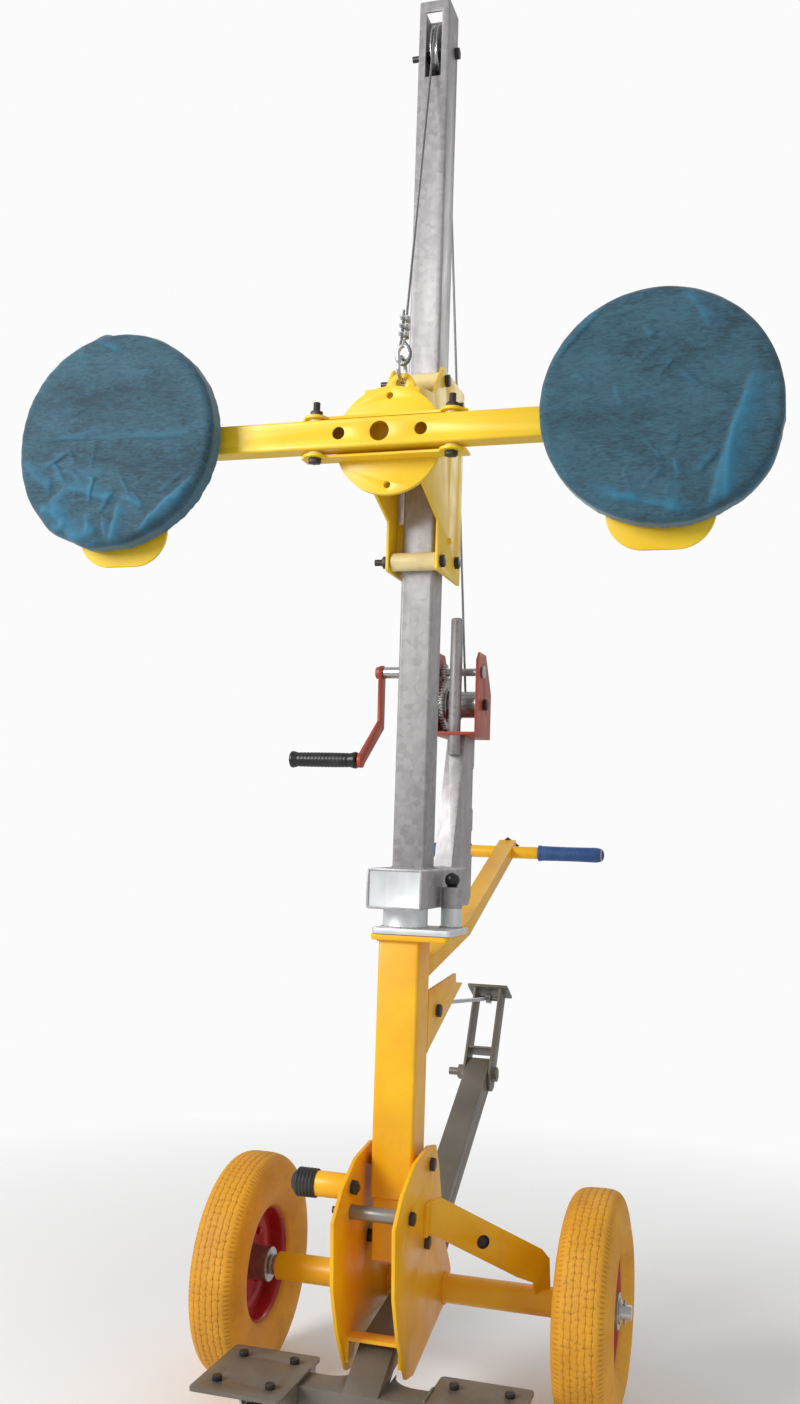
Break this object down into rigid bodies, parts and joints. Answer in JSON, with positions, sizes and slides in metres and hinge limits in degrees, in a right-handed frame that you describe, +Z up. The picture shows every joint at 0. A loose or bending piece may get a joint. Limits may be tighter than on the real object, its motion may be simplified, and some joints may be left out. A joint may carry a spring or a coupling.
{
  "type": "panel lift trolley",
  "caption": "Two-wheeled trolley with a slewing mast, a hand winch and a turning crossbar that carries two covered suction pads.",
  "frame": {"origin": "on the floor under the middle of the lift's outer box", "axes": "+Z up, -Y to the front where the panel is held, +X to the right as the lift is seen from its front"},
  "size_m": [1.297, 1.159, 2.6101],
  "materials": {
    "yellow_paint": "semi-gloss powder coat",
    "lemon_paint": "semi-gloss powder coat",
    "base_steel": "satin grey-brown paint",
    "galvanised_steel": "galvanised, soft sheen",
    "zinc_steel": "zinc plated",
    "wire_rope": "stranded wire",
    "bright_steel": "turned, satin",
    "dark_fasteners": "black oxide",
    "red_paint": "gloss enamel",
    "rim_red": "gloss enamel",
    "foam_tyre": "matt foam polyurethane",
    "caster_tread": "matt",
    "black_plastic": "moulded",
    "cap_rubber": "matt",
    "blue_grip": "soft ribbed grip",
    "cream_nylon": "turned nylon",
    "pad_rubber": "matt",
    "cover_cloth": "thin non-woven cloth",
    "pump_button": "moulded"
  },
  "bodies": {
    "base": {"axle_tube": "yellow_paint", "axle_shaft": "bright_steel", "cheek_plates": "yellow_paint", "base_frame": "base_steel", "caster_shelves": "base_steel", "caster_plates": "zinc_steel", "column_tube": "yellow_paint", "column_foot": "yellow_paint", "column_flange": "yellow_paint", "brace": "yellow_paint", "foot_peg": "yellow_paint", "foot_peg_cap": "cap_rubber", "handle_arm": "yellow_paint", "handle_bar": "yellow_paint", "handle_grips": "blue_grip", "base_bolts": "dark_fasteners"},
    "left_wheel": {"left_tyre": "foam_tyre", "left_rim": "rim_red"},
    "right_wheel": {"right_tyre": "foam_tyre", "right_rim": "rim_red"},
    "left_caster": {"left_caster_fork": "zinc_steel"},
    "right_caster": {"right_caster_fork": "zinc_steel"},
    "left_caster_roller": {"left_caster_wheel": "caster_tread"},
    "right_caster_roller": {"right_caster_wheel": "caster_tread"},
    "leg": {"leg_tube": "base_steel"},
    "leg_end": {"leg_foot": "base_steel"},
    "stay": {"stay_rod": "zinc_steel"},
    "mast": {"slew_beam": "galvanised_steel", "mast_tube": "galvanised_steel", "winch_bracket": "galvanised_steel", "winch_frame": "red_paint", "mast_bolts": "dark_fasteners", "rear_cable": "wire_rope", "front_cable": "wire_rope"},
    "plunger": {"plunger_pin": "zinc_steel", "plunger_knob": "black_plastic"},
    "sheave_body": {"sheave": "zinc_steel"},
    "drum": {"winch_drum": "zinc_steel"},
    "crank": {"crank_shaft": "zinc_steel", "crank_arm": "red_paint"},
    "grip": {"crank_grip": "black_plastic"},
    "carriage": {"carriage_plates": "lemon_paint", "face_plate": "lemon_paint", "rope_fitting": "zinc_steel", "carriage_bolts": "dark_fasteners"},
    "roller_a": {"front_upper_roller": "cream_nylon"},
    "roller_b": {"front_lower_roller": "cream_nylon"},
    "roller_c": {"rear_upper_roller": "cream_nylon"},
    "roller_d": {"rear_lower_roller": "cream_nylon"},
    "head": {"turntable": "lemon_paint", "guide_bolts": "dark_fasteners", "guide_bushes": "cream_nylon", "crossbar": "lemon_paint", "pad_frames": "lemon_paint", "suction_pads": "pad_rubber", "left_cover": "cover_cloth", "right_cover": "cover_cloth"},
    "pump_left": {"left_pump": "pump_button"},
    "pump_right": {"right_pump": "pump_button"}
  },
  "joints": [
    {"name": "left_wheel_spin", "type": "hinge", "parent": "base", "child": "left_wheel", "pos_m": [-0.327, -0.1325, 0.2], "axis": [1, 0, 0], "continuous": true},
    {"name": "right_wheel_spin", "type": "hinge", "parent": "base", "child": "right_wheel", "pos_m": [0.327, -0.1325, 0.2], "axis": [1, 0, 0], "continuous": true},
    {"name": "left_caster_swivel", "type": "hinge", "parent": "base", "child": "left_caster", "pos_m": [-0.184, -0.4355, 0.092], "axis": [0, 0, 1], "continuous": true},
    {"name": "left_caster_spin", "type": "hinge", "parent": "left_caster", "child": "left_caster_roller", "pos_m": [-0.184, -0.4075, 0.045], "axis": [1, 0, 0], "continuous": true},
    {"name": "right_caster_swivel", "type": "hinge", "parent": "base", "child": "right_caster", "pos_m": [0.184, -0.4355, 0.092], "axis": [0, 0, 1], "continuous": true},
    {"name": "right_caster_spin", "type": "hinge", "parent": "right_caster", "child": "right_caster_roller", "pos_m": [0.184, -0.4075, 0.045], "axis": [1, 0, 0], "continuous": true},
    {"name": "leg_fold", "type": "hinge", "parent": "base", "child": "leg", "pos_m": [0, -0.0725, 0.264], "axis": [1, 0, 0], "range_deg": [-60, 0]},
    {"name": "leg_foot_tilt", "type": "hinge", "parent": "leg", "child": "leg_end", "pos_m": [0, 0.32737, 0.50426], "axis": [1, 0, 0], "range_deg": [-9, 15]},
    {"name": "stay_swing", "type": "hinge", "parent": "leg_end", "child": "stay", "pos_m": [0, 0.40812, 0.65613], "axis": [1, 0, 0], "range_deg": [0, 25]},
    {"name": "mast_slew", "type": "hinge", "parent": "base", "child": "mast", "pos_m": [0, -0.2775, 0.85], "axis": [0, 0, 1], "range_deg": [-90, 90]},
    {"name": "plunger_lift", "type": "slide", "parent": "mast", "child": "plunger", "axis": [0, 0, 1], "range_m": [0, 0.012], "stiffness_N_per_m": 600, "springref_m": -0.006},
    {"name": "carriage_lift", "type": "slide", "parent": "mast", "child": "carriage", "axis": [0, 0, 1], "range_m": [-0.5, 0.3], "deforming": ["front_cable"]},
    {"name": "sheave_spin", "type": "hinge", "parent": "mast", "child": "sheave_body", "pos_m": [0, -0.2205, 2.529], "axis": [1, 0, 0], "continuous": true},
    {"name": "drum_spin", "type": "hinge", "parent": "mast", "child": "drum", "pos_m": [0, 0.0895, 1.28987], "axis": [1, 0, 0], "continuous": true},
    {"name": "crank_spin", "type": "hinge", "parent": "mast", "child": "crank", "pos_m": [0, 0.0675, 1.355], "axis": [1, 0, 0], "continuous": true},
    {"name": "grip_spin", "type": "hinge", "parent": "crank", "child": "grip", "pos_m": [-0.248, -0.0525, 1.163], "axis": [1, 0, 0], "continuous": true},
    {"name": "front_upper_roll", "type": "hinge", "parent": "carriage", "child": "roller_a", "pos_m": [0, -0.2894, 1.848], "axis": [1, 0, 0], "continuous": true},
    {"name": "front_lower_roll", "type": "hinge", "parent": "carriage", "child": "roller_b", "pos_m": [0, -0.2894, 1.512], "axis": [1, 0, 0], "continuous": true},
    {"name": "rear_upper_roll", "type": "hinge", "parent": "carriage", "child": "roller_c", "pos_m": [0, -0.1856, 1.83], "axis": [1, 0, 0], "continuous": true},
    {"name": "rear_lower_roll", "type": "hinge", "parent": "carriage", "child": "roller_d", "pos_m": [0, -0.1856, 1.53], "axis": [1, 0, 0], "continuous": true},
    {"name": "head_turn", "type": "hinge", "parent": "carriage", "child": "head", "pos_m": [0, -0.4695, 1.685], "axis": [0, 1, 0], "range_deg": [-90, 90]},
    {"name": "left_pump_stroke", "type": "slide", "parent": "head", "child": "pump_left", "axis": [0, -1, 0], "range_m": [0, 0.012], "stiffness_N_per_m": 500, "springref_m": -0.004},
    {"name": "right_pump_stroke", "type": "slide", "parent": "head", "child": "pump_right", "axis": [0, -1, 0], "range_m": [0, 0.012], "stiffness_N_per_m": 500, "springref_m": -0.004}
  ],
  "couplings": [
    {"joint": "drum_spin", "follows": "carriage_lift", "rad_per_m": -33.333},
    {"joint": "crank_spin", "follows": "carriage_lift", "rad_per_m": 119.44},
    {"joint": "sheave_spin", "follows": "carriage_lift", "rad_per_m": -20},
    {"joint": "front_upper_roll", "follows": "carriage_lift", "rad_per_m": -60.606},
    {"joint": "front_lower_roll", "follows": "carriage_lift", "rad_per_m": -60.606},
    {"joint": "rear_upper_roll", "follows": "carriage_lift", "rad_per_m": 60.606},
    {"joint": "rear_lower_roll", "follows": "carriage_lift", "rad_per_m": 60.606}
  ]
}
